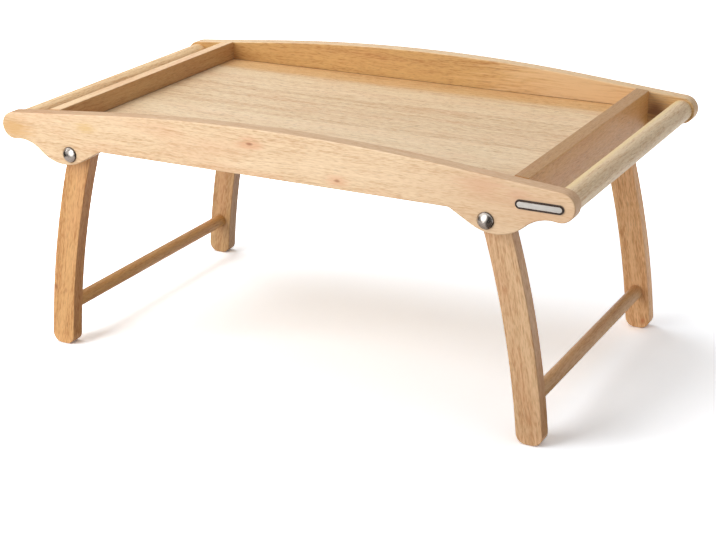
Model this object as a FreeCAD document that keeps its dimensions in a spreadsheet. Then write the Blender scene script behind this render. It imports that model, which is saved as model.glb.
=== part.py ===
import FreeCAD, Part
import math
import os

import Sketcher
from FreeCAD import Placement, Rotation, Vector

# A folding bed tray table. Two arched side boards, two end rails and a panel make the tray, and a
# round bar at each end is its handle. Two pairs of curved legs, each pair joined by a dowel, swing on
# bolts through the lobes of the side boards. The flat top of a leg stops against the panel when the
# leg stands, and its round inner corner lets it fold in under the panel.
#
# Frame: X along the tray, Y from front to back, Z up, feet on Z = 0, middle of the tray at X = Y = 0.
# Millimetres, and degrees for angles.

SIZES = (
    # the tray as a whole
    ("tray_length", 600.0, "over the noses of the side boards"),
    ("tray_depth", 350.0, "over the outer faces of the side boards"),
    ("belly_height", 220.3, "straight bottom edge of the side boards, above the floor"),
    # side boards, seen from the front
    ("board_thick", 15.0, "thickness of a side board"),
    ("crown_rise", 45.2, "top edge at the middle, above the belly"),
    ("flank_run", 106.5, "straight run of the top edge, in from the middle of the nose"),
    ("nose_radius", 13.5, "round end of a board"),
    ("nose_rise", 14.2, "centre of the nose, above the belly"),
    ("neck_radius", 34.0, "hollow between the nose and the lobe"),
    ("lobe_radius", 42.0, "rounded drop round the hinge bolt"),
    ("lobe_drop", 11.5, "wood below the hinge axis"),
    ("lobe_shift", 7.5, "middle of the lobe, outboard of the hinge"),
    ("ramp_angle", 30.0, "inner flank of the lobe, from level"),
    ("ramp_radius", 6.0, "small round where the flank meets the belly"),
    ("board_ease", 1.2, "rounding of the board's long edges"),
    # end rails and panel
    ("rail_setback", 47.7, "outer face of an end rail, in from the end of the tray"),
    ("rail_thick", 13.5, "thickness of an end rail"),
    ("rail_rise", 32.4, "top of a rail at its inner face, above the belly"),
    ("rail_fall", 1.2, "fall of that top to the outer face, as steep as the boards' top edges there"),
    ("rail_drop", 3.8, "bottom of a rail, below the belly"),
    ("rail_ease", 0.8, "rounding of a rail's top edges"),
    ("panel_thick", 6.0, "thickness of the tray panel"),
    ("groove_depth", 5.0, "groove for the panel in boards and rails"),
    ("groove_play", 0.2, "room above the panel in its groove"),
    ("panel_play", 0.4, "room round the panel's edges for the wood to move"),
    ("peg_diameter", 6.0, "wooden peg between rail and board"),
    ("peg_in_rail", 22.0, "depth of a peg in the rail"),
    ("peg_in_board", 9.0, "depth of a peg in the board"),
    # handle bars
    ("handle_diameter", 22.0, "round handle bar, on the middle of the noses"),
    ("tenon_diameter", 12.0, "turned end of a handle bar"),
    ("tenon_length", 9.0, "length of that end, in the board"),
    # hinges
    ("hinge_setback", 80.5, "hinge axis, in from the end of the tray"),
    ("hinge_drop", 6.8, "hinge axis, below the belly"),
    ("bolt_diameter", 6.0, "shank of the hinge bolt"),
    ("bolt_end", 1.0, "bolt beyond the nut"),
    ("bolt_bevel", 0.6, "bevel at the end of the bolt"),
    ("head_diameter", 15.7, "domed bolt head"),
    ("head_height", 5.0, "height of the dome"),
    ("head_rim", 0.8, "straight edge under the dome"),
    ("washer_thick", 1.2, "every washer"),
    ("washer_play", 0.4, "hole of a washer over the bolt"),
    ("spacer_diameter", 18.0, "washer between board and leg"),
    ("washer_diameter", 14.0, "washer between leg and nut"),
    ("nut_width", 10.0, "across the flats"),
    ("nut_height", 6.0, "with its collar"),
    ("collar_height", 1.5, "round collar of the nut"),
    ("collar_inset", 0.7, "collar inside the flats"),
    ("running_fit", 0.05, "radial room of a leg on its bolt"),
    ("slide_gap", 0.3, "room beside a leg and above its head"),
    # legs
    ("leg_width", 26.0, "leg seen from the front"),
    ("leg_thick", 15.0, "leg seen from the end"),
    ("leg_bend", 950.0, "radius of the leg's middle line"),
    ("leg_head", 13.25, "round head about the hinge, also the height of the stop above it"),
    ("foot_reach", 39.0, "middle of the foot, outboard of the hinge"),
    ("stop_round", 5.0, "rounded outboard corner of the stop"),
    ("foot_round", 10.0, "rounded corners of the foot"),
    ("leg_ease", 1.0, "rounding of the leg's long edges"),
    ("stretcher_diameter", 14.0, "dowel between two legs"),
    ("stretcher_height", 40.0, "dowel's axis above the floor"),
    ("stretcher_tenon", 8.0, "depth of the dowel in a leg"),
)

# a curve's points, as a sketch numbers them
START, END, CENTRE = range(1, 4)
ORIGIN = (-1, START)
# a sketch's own axes, which it numbers downwards
LEVEL_AXIS, UPRIGHT_AXIS = range(-1, -3, -1)
QUARTER = math.pi / 2
HAIR = 0.01

doc = FreeCAD.newDocument("BedTrayTable")
sheet = doc.addObject("Spreadsheet::Sheet", "Sizes")
for row, (alias, number, meaning) in enumerate(SIZES, start=1):
    sheet.set("A%d" % row, alias)
    sheet.set("B%d" % row, str(number))
    sheet.set("C%d" % row, meaning)
    sheet.setAlias("B%d" % row, alias)
doc.recompute()

NAMES = {alias for alias, number, meaning in SIZES}


def tied(formula):
    """The formula with each size's name pointing at its cell."""
    return " ".join("Sizes." + word if word in NAMES else word for word in formula.split())


def value(formula):
    """The formula's number, from the sheet."""
    return float(sheet.evalExpression(tied(formula)))


def bind(thing, prop, formula):
    thing.setExpression(prop, tied(formula))


# Formulas that more than one piece uses.
HINGE_REACH = "( tray_length / 2 - hinge_setback )"
HINGE_HEIGHT = "( belly_height - hinge_drop )"
HANDLE_REACH = "( tray_length / 2 - nose_radius )"
HANDLE_HEIGHT = "( belly_height + nose_rise )"
INSIDE_HALF = "( tray_depth / 2 - board_thick )"
RAIL_INSIDE = "( tray_length / 2 - rail_setback - rail_thick )"
RAIL_MIDDLE = "( tray_length / 2 - rail_setback - rail_thick / 2 )"
RAIL_TOP = "( belly_height + rail_rise )"
RAIL_BOTTOM = "( belly_height - rail_drop )"
PANEL_BOTTOM = "( belly_height - hinge_drop + leg_head + slide_gap )"
GROOVE_TOP = "( belly_height - hinge_drop + leg_head + slide_gap + panel_thick + groove_play )"
LOWER_PEG = "( ( " + RAIL_BOTTOM + " + " + PANEL_BOTTOM + " ) / 2 )"
UPPER_PEG = "( ( " + GROOVE_TOP + " + " + RAIL_TOP + " ) / 2 )"
WASHER_BORE = "( bolt_diameter + washer_play )"
LEG_INSIDE = "( tray_depth / 2 - board_thick - washer_thick - slide_gap - leg_thick )"
NUT_SEAT = "( tray_depth / 2 - board_thick - 2 * washer_thick - 2 * slide_gap - leg_thick )"
BOLT_LENGTH = "board_thick + 2 * washer_thick + 2 * slide_gap + leg_thick + nut_height + bolt_end"
BEND_TO_HEAD = "( leg_bend - leg_width / 2 + leg_head )"
BEND_TO_TOE = "( leg_bend + leg_width / 2 - foot_round )"
TOE_REACH = "( foot_reach + leg_width / 2 - foot_round )"
TOE_DROP = "( belly_height - hinge_drop - foot_round )"
STRETCHER_DROP = "( belly_height - hinge_drop - stretcher_height )"


class Profile:
    """A sketch on one of its body's own planes, with its sizes tied to the sheet."""

    def __init__(self, body, name, plane, offset=None):
        self.sketch = body.newObject("Sketcher::SketchObject", name)
        support = next(item for item in body.Origin.OriginFeatures if item.Role == plane)
        self.sketch.AttachmentSupport = [(support, "")]
        self.sketch.MapMode = "FlatFace"
        if offset:
            bind(self.sketch, "AttachmentOffset.Base.z", offset)

    def line(self, start, end, guide=False):
        shape = Part.LineSegment(Vector(start[0], start[1], 0), Vector(end[0], end[1], 0))
        return self.sketch.addGeometry(shape, guide)

    def arc(self, centre, radius, first, last):
        """An arc that runs anticlockwise from one angle to another, in radians."""
        circle = Part.Circle(Vector(centre[0], centre[1], 0), Vector(0, 0, 1), radius)
        return self.sketch.addGeometry(Part.ArcOfCircle(circle, first, last), False)

    def circle(self, centre, radius, guide=False):
        shape = Part.Circle(Vector(centre[0], centre[1], 0), Vector(0, 0, 1), radius)
        return self.sketch.addGeometry(shape, guide)

    def rule(self, kind, *references):
        return self.sketch.addConstraint(Sketcher.Constraint(kind, *references))

    def size(self, kind, *references):
        """A dimension. The last argument is its formula."""
        formula = references[-1]
        number = value(formula)
        if kind == "Angle":
            number = math.radians(number)
        index = self.rule(kind, *references[:-1], number)
        self.sketch.setExpression("Constraints[%d]" % index, tied(formula))

    def place(self, item, point, across, up):
        """Ties a point to the origin, when both formulas are positive."""
        self.size("DistanceX", *ORIGIN, item, point, across)
        self.size("DistanceY", *ORIGIN, item, point, up)

    def hole(self, across, up, radius):
        item = self.circle((value(across), value(up)), value(radius))
        self.place(item, CENTRE, across, up)
        self.size("Radius", item, radius)

    def box(self, half, bottom, top):
        """A rectangle about the upright axis, half its width each side."""
        low, high, side = value(bottom), value(top), value(half)
        corners = [(-side, low), (side, low), (side, high), (-side, high)]
        sides = [self.line(corners[i], corners[(i + 1) % 4]) for i in range(4)]
        for i in range(4):
            self.rule("Coincident", sides[i], END, sides[(i + 1) % 4], START)
            self.rule("Horizontal" if i % 2 == 0 else "Vertical", sides[i])
        self.size("DistanceX", sides[0], START, *ORIGIN, half)
        self.place(sides[1], START, half, bottom)
        self.size("DistanceY", *ORIGIN, sides[2], START, top)


def new_body(label):
    body = doc.addObject("PartDesign::Body", "Body_" + label)
    body.Label = label
    return body


def pad(body, profile, length, backwards=False):
    feature = body.newObject("PartDesign::Pad", profile.sketch.Name + "Pad")
    feature.Profile = profile.sketch
    bind(feature, "Length", length)
    feature.Reversed = backwards
    doc.recompute()
    return feature


def pocket(body, profile, depth=None, backwards=False):
    """Cuts the profile out, right through when no depth is given, and makes sure it cut."""
    before = body.Shape.Volume
    feature = body.newObject("PartDesign::Pocket", profile.sketch.Name + "Cut")
    feature.Profile = profile.sketch
    if depth:
        bind(feature, "Length", depth)
    else:
        feature.Type = "ThroughAll"
    feature.Reversed = backwards
    doc.recompute()
    if body.Shape.Volume > before - 1.0:
        raise RuntimeError("%s cut nothing from %s" % (profile.sketch.Name, body.Label))
    return feature


def mirror(body, originals, plane):
    feature = body.newObject("PartDesign::Mirrored", "Mirrored")
    feature.Originals = originals
    support = next(item for item in body.Origin.OriginFeatures if item.Role == plane)
    feature.MirrorPlane = (support, [""])
    body.Tip = feature
    doc.recompute()


def ease(body, choose, radius):
    """Rounds the edges that the given function chooses from the body's shape so far."""
    base = body.Tip
    chosen = choose(base.Shape)
    names = [
        "Edge%d" % number for number, edge in enumerate(base.Shape.Edges, start=1)
        if any(edge.isSame(other) for other in chosen)
    ]
    feature = body.newObject("PartDesign::Fillet", "Eased")
    feature.Base = (base, names)
    bind(feature, "Radius", radius)
    doc.recompute()


def side_outlines(shape):
    """The outer edges of the two largest faces that look along Y."""
    flat = [
        face for face in shape.Faces
        if isinstance(face.Surface, Part.Plane) and abs(face.Surface.Axis.y) > 0.999
    ]
    flat.sort(key=lambda face: face.Area, reverse=True)
    return [edge for face in flat[:2] for edge in face.OuterWire.Edges]


def upper_edges(shape):
    """The edges along Y in the upper half."""
    middle = shape.BoundBox.Center.z
    return [
        edge for edge in shape.Edges
        if edge.BoundBox.ZMin > middle and edge.BoundBox.XLength < HAIR
    ]


def cylinder(name, diameter, length):
    item = doc.addObject("Part::Cylinder", name)
    bind(item, "Radius", diameter + " / 2")
    bind(item, "Height", length)
    return item


def along_y(across, start, up):
    """Lays a piece that was drawn along Z down along Y."""
    return Placement(Vector(across, start, up), Rotation(Vector(1, 0, 0), -90))


def turned(degrees, spot):
    """A spot in the tray's right half, or the same spot in the left half after half a turn."""
    return Placement(Vector(0, 0, 0), Rotation(Vector(0, 0, 1), degrees)) * Placement(spot, Rotation())


def meet(first, reach, second, span):
    """The point at one distance from the first point and another from the second.

    It lies on the left of the way from the first point to the second.
    """
    gap = math.hypot(second[0] - first[0], second[1] - first[1])
    along = (reach ** 2 - span ** 2 + gap ** 2) / (2 * gap)
    aside = math.sqrt(reach ** 2 - along ** 2)
    step = ((second[0] - first[0]) / gap, (second[1] - first[1]) / gap)
    return (
        first[0] + along * step[0] - aside * step[1],
        first[1] + along * step[1] + aside * step[0],
    )


def heading(start, end):
    """The angle of the way from one point to another, in radians."""
    return math.atan2(end[1] - start[1], end[0] - start[0])


def on_circle(centre, radius, angle):
    return (centre[0] + radius * math.cos(angle), centre[1] + radius * math.sin(angle))


def board_outline(body):
    """Half of a side board's outline, from its middle to its nose, as a pad in front of XZ."""
    nose_radius = value("nose_radius")
    nose = (value("tray_length / 2 - nose_radius"), value("belly_height + nose_rise"))
    neck_radius = value("neck_radius")
    lobe_radius = value("lobe_radius")
    lobe_reach = HINGE_REACH + " + lobe_shift"
    lobe_height = HINGE_HEIGHT + " - lobe_drop + lobe_radius"
    lobe = (value(lobe_reach), value(lobe_height))
    neck = meet(nose, nose_radius + neck_radius, lobe, lobe_radius + neck_radius)
    belly = value("belly_height")
    crown = value("belly_height + crown_rise")

    # the arched top edge and its straight flank, roughly: the tangents below make them exact
    arch_reach = nose[0] - value("flank_run")
    lean = math.atan((crown - nose[1] - nose_radius) / (nose[0] - arch_reach / 2))
    arch_radius = arch_reach / math.sin(lean)
    arch_centre = (0.0, crown - arch_radius)
    flank_angle = QUARTER - lean

    # the lobe's inner flank climbs to the belly
    ramp = math.radians(value("ramp_angle"))
    ramp_radius = value("ramp_radius")
    slope_low = on_circle(lobe, lobe_radius, -QUARTER - ramp)
    slope_climb = belly - ramp_radius + ramp_radius * math.cos(ramp) - slope_low[1]
    slope_high = (slope_low[0] - slope_climb / math.tan(ramp), slope_low[1] + slope_climb)
    bend_centre = (slope_high[0] - ramp_radius * math.sin(ramp), belly - ramp_radius)

    outline = Profile(body, "BoardOutline", "XZ_Plane")
    arch = outline.arc(arch_centre, arch_radius, flank_angle, QUARTER)
    flank = outline.line(
        on_circle(arch_centre, arch_radius, flank_angle), on_circle(nose, nose_radius, flank_angle)
    )
    tip = outline.arc(nose, nose_radius, heading(nose, neck), flank_angle)
    hollow = outline.arc(neck, neck_radius, heading(neck, nose), heading(neck, lobe))
    drop = outline.arc(lobe, lobe_radius, -QUARTER - ramp, heading(lobe, neck))
    slope = outline.line(slope_low, slope_high)
    bend = outline.arc(bend_centre, ramp_radius, QUARTER - ramp, QUARTER)
    under = outline.line((bend_centre[0], belly), (0.0, belly))
    middle = outline.line((0.0, belly), (0.0, crown))

    smooth = (
        (arch, START, flank, START),
        (flank, END, tip, END),
        (tip, START, hollow, START),
        (hollow, END, drop, END),
        (drop, START, slope, START),
        (slope, END, bend, START),
        (bend, END, under, START),
    )
    for joint in smooth:
        outline.rule("Tangent", *joint)
    outline.rule("Coincident", under, END, middle, START)
    outline.rule("Coincident", middle, END, arch, END)
    outline.rule("Horizontal", under)
    outline.rule("Vertical", middle)
    outline.rule("PointOnObject", middle, START, UPRIGHT_AXIS)
    outline.rule("PointOnObject", arch, CENTRE, UPRIGHT_AXIS)
    outline.size("Radius", tip, "nose_radius")
    outline.size("Radius", hollow, "neck_radius")
    outline.size("Radius", drop, "lobe_radius")
    outline.size("Radius", bend, "ramp_radius")
    outline.size("Angle", slope, "180 - ramp_angle")
    outline.size("DistanceX", flank, START, tip, CENTRE, "flank_run")
    outline.size("DistanceY", *ORIGIN, middle, START, "belly_height")
    outline.size("DistanceY", middle, START, middle, END, "crown_rise")
    outline.place(tip, CENTRE, "tray_length / 2 - nose_radius", "belly_height + nose_rise")
    outline.place(drop, CENTRE, lobe_reach, lobe_height)
    return pad(body, outline, "board_thick")


def board(label, turn):
    """A side board, drawn with its inner face on the local XZ plane and its wood in front of it."""
    body = new_body(label)
    half = board_outline(body)

    bolt_hole = Profile(body, "BoltHole", "XZ_Plane")
    bolt_hole.hole(HINGE_REACH, HINGE_HEIGHT, "bolt_diameter / 2")
    bolt_cut = pocket(body, bolt_hole, backwards=True)

    handle_socket = Profile(body, "HandleSocket", "XZ_Plane")
    handle_socket.hole(HANDLE_REACH, HANDLE_HEIGHT, "tenon_diameter / 2")
    handle_cut = pocket(body, handle_socket, "tenon_length", backwards=True)

    peg_holes = Profile(body, "PegHoles", "XZ_Plane")
    for height in (LOWER_PEG, UPPER_PEG):
        peg_holes.hole(RAIL_MIDDLE, height, "peg_diameter / 2")
    peg_cut = pocket(body, peg_holes, "peg_in_board", backwards=True)

    mirror(body, [half, bolt_cut, handle_cut, peg_cut], "YZ_Plane")
    ease(body, side_outlines, "board_ease")

    groove = Profile(body, "PanelGroove", "XZ_Plane")
    groove.box(RAIL_INSIDE + " + groove_depth", PANEL_BOTTOM, GROOVE_TOP)
    pocket(body, groove, "groove_depth", backwards=True)

    body.Placement = turned(turn, Vector(0, -value(INSIDE_HALF), 0))
    return body


def rail_section(body):
    """A rail's section at its front end, with the inner face on the upright axis."""
    low = value(RAIL_BOTTOM)
    high = value(RAIL_TOP)
    thick = value("rail_thick")
    corners = [(0.0, low), (thick, low), (thick, high - value("rail_fall")), (0.0, high)]

    section = Profile(body, "RailSection", "XZ_Plane", INSIDE_HALF)
    sides = [section.line(corners[i], corners[(i + 1) % 4]) for i in range(4)]
    under, outside, top, inside = sides
    for i in range(4):
        section.rule("Coincident", sides[i], END, sides[(i + 1) % 4], START)
    section.rule("Horizontal", under)
    section.rule("Vertical", outside)
    section.rule("PointOnObject", top, END, UPRIGHT_AXIS)
    section.rule("PointOnObject", inside, END, UPRIGHT_AXIS)
    section.size("DistanceX", under, START, under, END, "rail_thick")
    section.size("DistanceY", top, START, top, END, "rail_fall")
    section.size("DistanceY", *ORIGIN, inside, START, RAIL_TOP)
    section.size("DistanceY", *ORIGIN, inside, END, RAIL_BOTTOM)
    return section


def rail(label, turn):
    """An end rail, drawn with its inner face on the local YZ plane and its wood outboard of it."""
    body = new_body(label)
    pad(body, rail_section(body), "2 * " + INSIDE_HALF, backwards=True)
    ease(body, upper_edges, "rail_ease")

    groove = Profile(body, "PanelGroove", "YZ_Plane")
    groove.box(INSIDE_HALF, PANEL_BOTTOM, GROOVE_TOP)
    pocket(body, groove, "groove_depth", backwards=True)

    peg_holes = Profile(body, "PegHoles", "XZ_Plane", INSIDE_HALF)
    for height in (LOWER_PEG, UPPER_PEG):
        peg_holes.hole("rail_thick / 2", height, "peg_diameter / 2")
    front_holes = pocket(body, peg_holes, "peg_in_rail")
    mirror(body, [front_holes], "XZ_Plane")

    body.Placement = turned(turn, Vector(value(RAIL_INSIDE), 0, 0))
    return body


def rail_pegs(label, turn):
    """The four wooden pegs that join one rail to both boards."""
    front_start = -value(INSIDE_HALF + " + peg_in_board")
    back_start = value(INSIDE_HALF + " - peg_in_rail")
    pegs = []
    for start in (front_start, back_start):
        for height in (LOWER_PEG, UPPER_PEG):
            peg = cylinder("Peg_" + label, "peg_diameter", "peg_in_rail + peg_in_board")
            peg.Placement = along_y(value(RAIL_MIDDLE), start, value(height))
            pegs.append(peg)
    group = doc.addObject("Part::Compound", "Group_" + label)
    group.Links = pegs
    group.Label = label
    group.Placement = turned(turn, Vector(0, 0, 0))
    return group


def panel(label):
    """The tray's bottom, which stands in grooves all round."""
    item = doc.addObject("Part::Box", "Panel")
    item.Label = label
    length = "2 * " + RAIL_INSIDE + " + 2 * groove_depth - 2 * panel_play"
    width = "2 * " + INSIDE_HALF + " + 2 * groove_depth - 2 * panel_play"
    bind(item, "Length", length)
    bind(item, "Width", width)
    bind(item, "Height", "panel_thick")
    corner = Vector(-value(length) / 2, -value(width) / 2, value(PANEL_BOTTOM))
    item.Placement = Placement(corner, Rotation())
    return item


def handle(label, side):
    """A round bar with a turned tenon at each end."""
    bar = cylinder("Bar_" + label, "handle_diameter", "2 * " + INSIDE_HALF)
    core = cylinder("Core_" + label, "tenon_diameter", "2 * " + INSIDE_HALF + " + 2 * tenon_length")
    bind(bar, "Placement.Base.z", "tenon_length")
    item = doc.addObject("Part::Fuse", "Handle_" + label)
    item.Base = bar
    item.Tool = core
    item.Label = label
    start = -value(INSIDE_HALF + " + tenon_length")
    item.Placement = along_y(side * value(HANDLE_REACH), start, value(HANDLE_HEIGHT))
    return item


def leg_bend_centre():
    """Centre of the leg's sweep, from the hinge axis: X outboard, Y up."""
    toe = (value(TOE_REACH), -value(TOE_DROP))
    return meet(toe, value(BEND_TO_TOE), (0.0, 0.0), value(BEND_TO_HEAD))


def stretcher_offset():
    """Axis of the stretcher, outboard of the hinge: it lies on the leg's middle line."""
    centre = leg_bend_centre()
    rise = -value(STRETCHER_DROP) - centre[1]
    return centre[0] + math.sqrt(value("leg_bend") ** 2 - rise ** 2)


def leg_outline(body):
    """A leg's outline, about its hinge axis, with the outboard side along +X."""
    centre = leg_bend_centre()
    inner = value("leg_bend - leg_width / 2")
    outer = value("leg_bend + leg_width / 2")
    head = value("leg_head")
    foot_round = value("foot_round")
    floor = -value(HINGE_HEIGHT)

    head_angle = heading(centre, (0.0, 0.0))
    stop_round = value("stop_round")
    turn_run = math.sqrt((outer - stop_round) ** 2 - (head - stop_round - centre[1]) ** 2)
    turn = (centre[0] + turn_run, head - stop_round)
    toe = (value(TOE_REACH), floor + foot_round)
    heel_run = math.sqrt((inner + foot_round) ** 2 - (toe[1] - centre[1]) ** 2)
    heel = (centre[0] + heel_run, floor + foot_round)

    outline = Profile(body, "LegOutline", "XZ_Plane")
    inside = outline.arc(centre, inner, heading(centre, heel), head_angle)
    round_head = outline.arc((0.0, 0.0), head, QUARTER, head_angle + math.pi)
    stop = outline.line((0.0, head), (turn[0], head))
    corner = outline.arc(turn, stop_round, heading(centre, turn), QUARTER)
    outside = outline.arc(centre, outer, heading(centre, toe), heading(centre, turn))
    toe_arc = outline.arc(toe, foot_round, -QUARTER, heading(centre, toe))
    sole = outline.line((toe[0], floor), (heel[0], floor))
    heel_arc = outline.arc(heel, foot_round, heading(heel, centre), -QUARTER)

    smooth = (
        (inside, END, round_head, END),
        (round_head, START, stop, START),
        (stop, END, corner, END),
        (corner, START, outside, END),
        (outside, START, toe_arc, END),
        (toe_arc, START, sole, START),
        (sole, END, heel_arc, END),
        (heel_arc, START, inside, START),
    )
    for joint in smooth:
        outline.rule("Tangent", *joint)
    outline.rule("Coincident", round_head, CENTRE, *ORIGIN)
    outline.rule("Coincident", inside, CENTRE, outside, CENTRE)
    outline.rule("Horizontal", stop)
    outline.rule("Horizontal", sole)
    outline.size("Radius", round_head, "leg_head")
    outline.size("Radius", inside, "leg_bend - leg_width / 2")
    outline.size("Radius", outside, "leg_bend + leg_width / 2")
    outline.size("Radius", corner, "stop_round")
    outline.size("Radius", toe_arc, "foot_round")
    outline.size("Radius", heel_arc, "foot_round")
    outline.size("DistanceY", sole, START, *ORIGIN, HINGE_HEIGHT)
    outline.size("DistanceX", *ORIGIN, toe_arc, CENTRE, TOE_REACH)
    return outline


def stretcher_socket(body):
    """The stretcher's hole, on the middle line of the leg's sweep."""
    centre = leg_bend_centre()
    socket = Profile(body, "StretcherSocket", "XZ_Plane")
    sweep = socket.circle(centre, value("leg_bend"), guide=True)
    to_head = socket.line(centre, (0.0, 0.0), guide=True)
    to_toe = socket.line(centre, (value(TOE_REACH), -value(TOE_DROP)), guide=True)
    axis = (stretcher_offset(), -value(STRETCHER_DROP))
    hole = socket.circle(axis, value("stretcher_diameter / 2"))

    socket.rule("Coincident", to_head, START, sweep, CENTRE)
    socket.rule("Coincident", to_toe, START, sweep, CENTRE)
    socket.rule("Coincident", to_head, END, *ORIGIN)
    socket.rule("PointOnObject", hole, CENTRE, sweep)
    socket.size("Distance", to_head, BEND_TO_HEAD)
    socket.size("Distance", to_toe, BEND_TO_TOE)
    socket.size("DistanceX", *ORIGIN, to_toe, END, TOE_REACH)
    socket.size("DistanceY", to_toe, END, *ORIGIN, TOE_DROP)
    socket.size("Radius", sweep, "leg_bend")
    socket.size("DistanceY", hole, CENTRE, *ORIGIN, STRETCHER_DROP)
    socket.size("Radius", hole, "stretcher_diameter / 2")
    return socket


def leg(label, backwards, turn):
    """A leg, drawn with its inner face on the local XZ plane.

    The wood stands in front of that plane, or behind it when backwards is set.
    """
    body = new_body(label)
    pad(body, leg_outline(body), "leg_thick", backwards)
    ease(body, side_outlines, "leg_ease")

    eye = Profile(body, "LegEye", "XZ_Plane")
    hole = eye.circle((0.0, 0.0), value("bolt_diameter / 2 + running_fit"))
    eye.rule("Coincident", hole, CENTRE, *ORIGIN)
    eye.size("Radius", hole, "bolt_diameter / 2 + running_fit")
    pocket(body, eye, backwards=not backwards)

    pocket(body, stretcher_socket(body), "stretcher_tenon", backwards=not backwards)

    inner_face = value(LEG_INSIDE) * (1 if backwards else -1)
    body.Placement = turned(turn, Vector(value(HINGE_REACH), inner_face, value(HINGE_HEIGHT)))
    return body


def stretcher(label, side):
    length = "2 * " + LEG_INSIDE + " + 2 * stretcher_tenon"
    item = cylinder("Dowel_" + label, "stretcher_diameter", length)
    item.Label = label
    across = side * (value(HINGE_REACH) + stretcher_offset())
    start = -value(LEG_INSIDE + " + stretcher_tenon")
    item.Placement = along_y(across, start, value("stretcher_height"))
    return item


def hinge_place(side, end, distance):
    """A place on a hinge axis, for a piece whose local +Y points into the tray."""
    spot = Vector(side * value(HINGE_REACH), end * distance, value(HINGE_HEIGHT))
    return Placement(spot, Rotation(Vector(0, 0, 1), 0 if end < 0 else 180))


def bolt(label, side, end):
    """A bolt with a smooth domed head, turned about Y with the head's seat at the origin."""
    body = new_body(label)
    head = value("head_diameter / 2")
    shank = value("bolt_diameter / 2")
    height = value("head_height")
    rim = value("head_rim")
    length = value(BOLT_LENGTH)
    bevel = value("bolt_bevel")
    dome = ((height - rim) ** 2 + head ** 2) / (2 * (height - rim))
    dome_centre = (0.0, dome - height)

    section = Profile(body, "BoltSection", "XY_Plane")
    cap = section.arc(dome_centre, dome, -QUARTER, heading(dome_centre, (head, -rim)))
    corners = [
        (head, -rim), (head, 0.0), (shank, 0.0), (shank, length - bevel),
        (shank - bevel, length), (0.0, length), (0.0, -height),
    ]
    sides = [section.line(corners[i], corners[i + 1]) for i in range(len(corners) - 1)]
    edge, seat, shaft, chamfer, tail, axis = sides
    section.rule("Coincident", cap, END, edge, START)
    for first, second in zip(sides, sides[1:]):
        section.rule("Coincident", first, END, second, START)
    section.rule("Coincident", axis, END, cap, START)
    section.rule("PointOnObject", cap, CENTRE, UPRIGHT_AXIS)
    section.rule("PointOnObject", axis, START, UPRIGHT_AXIS)
    section.rule("PointOnObject", axis, END, UPRIGHT_AXIS)
    section.rule("PointOnObject", seat, START, LEVEL_AXIS)
    section.rule("Vertical", edge)
    section.rule("Horizontal", seat)
    section.rule("Vertical", shaft)
    section.rule("Horizontal", tail)
    section.size("DistanceX", *ORIGIN, seat, START, "head_diameter / 2")
    section.size("DistanceX", *ORIGIN, shaft, START, "bolt_diameter / 2")
    section.size("DistanceY", axis, END, *ORIGIN, "head_height")
    section.size("DistanceY", edge, START, edge, END, "head_rim")
    section.size("DistanceY", *ORIGIN, axis, START, BOLT_LENGTH)
    section.size("DistanceY", chamfer, START, chamfer, END, "bolt_bevel")
    section.size("DistanceX", chamfer, END, chamfer, START, "bolt_bevel")

    turning = body.newObject("PartDesign::Revolution", "Turned")
    turning.Profile = section.sketch
    turning.ReferenceAxis = (section.sketch, ["V_Axis"])
    turning.Angle = 360.0
    body.Placement = hinge_place(side, end, value("tray_depth / 2"))
    return body


def drilled(label, blank, bore, length):
    drill = cylinder("Drill_" + label, bore, length)
    item = doc.addObject("Part::Cut", "Cut_" + label)
    item.Base = blank
    item.Tool = drill
    item.Label = label
    return item


def on_bolt(side, end, distance):
    """A place on a hinge bolt, for a piece drawn up from its outer face along Z."""
    lie_down = Placement(Vector(0, 0, 0), Rotation(Vector(1, 0, 0), -90))
    return hinge_place(side, end, distance) * lie_down


def washer(label, side, end, diameter, outer_face):
    """A flat washer whose outer face stands at the given distance from the tray's middle plane."""
    blank = cylinder("Blank_" + label, diameter, "washer_thick")
    item = drilled(label, blank, WASHER_BORE, "washer_thick")
    item.Placement = on_bolt(side, end, value(outer_face))
    return item


def lock_nut(label, side, end):
    """A hexagon nut with a round collar, seated on the inner washer."""
    prism = doc.addObject("Part::Prism", "Prism_" + label)
    prism.Polygon = 6
    bind(prism, "Circumradius", "nut_width / 2 / cos( 30 )")
    bind(prism, "Height", "nut_height - collar_height")
    collar = cylinder("Collar_" + label, "( nut_width - 2 * collar_inset )", "nut_height")
    blank = doc.addObject("Part::Fuse", "Blank_" + label)
    blank.Base = prism
    blank.Tool = collar
    item = drilled(label, blank, "bolt_diameter", "nut_height")
    item.Placement = on_bolt(side, end, value(NUT_SEAT))
    return item


pieces = [
    board("front_side_board", 0),
    board("back_side_board", 180),
    rail("right_end_rail", 0),
    rail("left_end_rail", 180),
    rail_pegs("right_rail_pegs", 0),
    rail_pegs("left_rail_pegs", 180),
    panel("tray_panel"),
    handle("left_handle_bar", -1),
    handle("right_handle_bar", 1),
    leg("front_right_leg", False, 0),
    leg("back_left_leg", False, 180),
    leg("back_right_leg", True, 0),
    leg("front_left_leg", True, 180),
    stretcher("left_stretcher", -1),
    stretcher("right_stretcher", 1),
]
for end_name, end in (("front", -1), ("back", 1)):
    for side_name, side in (("left", -1), ("right", 1)):
        where = "%s_%s_" % (end_name, side_name)
        spacer_face = INSIDE_HALF
        washer_face = NUT_SEAT + " + washer_thick"
        pieces += [
            bolt(where + "hinge_bolt", side, end),
            washer(where + "spacer_washer", side, end, "spacer_diameter", spacer_face),
            washer(where + "nut_washer", side, end, "washer_diameter", washer_face),
            lock_nut(where + "lock_nut", side, end),
        ]

doc.recompute()

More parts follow.
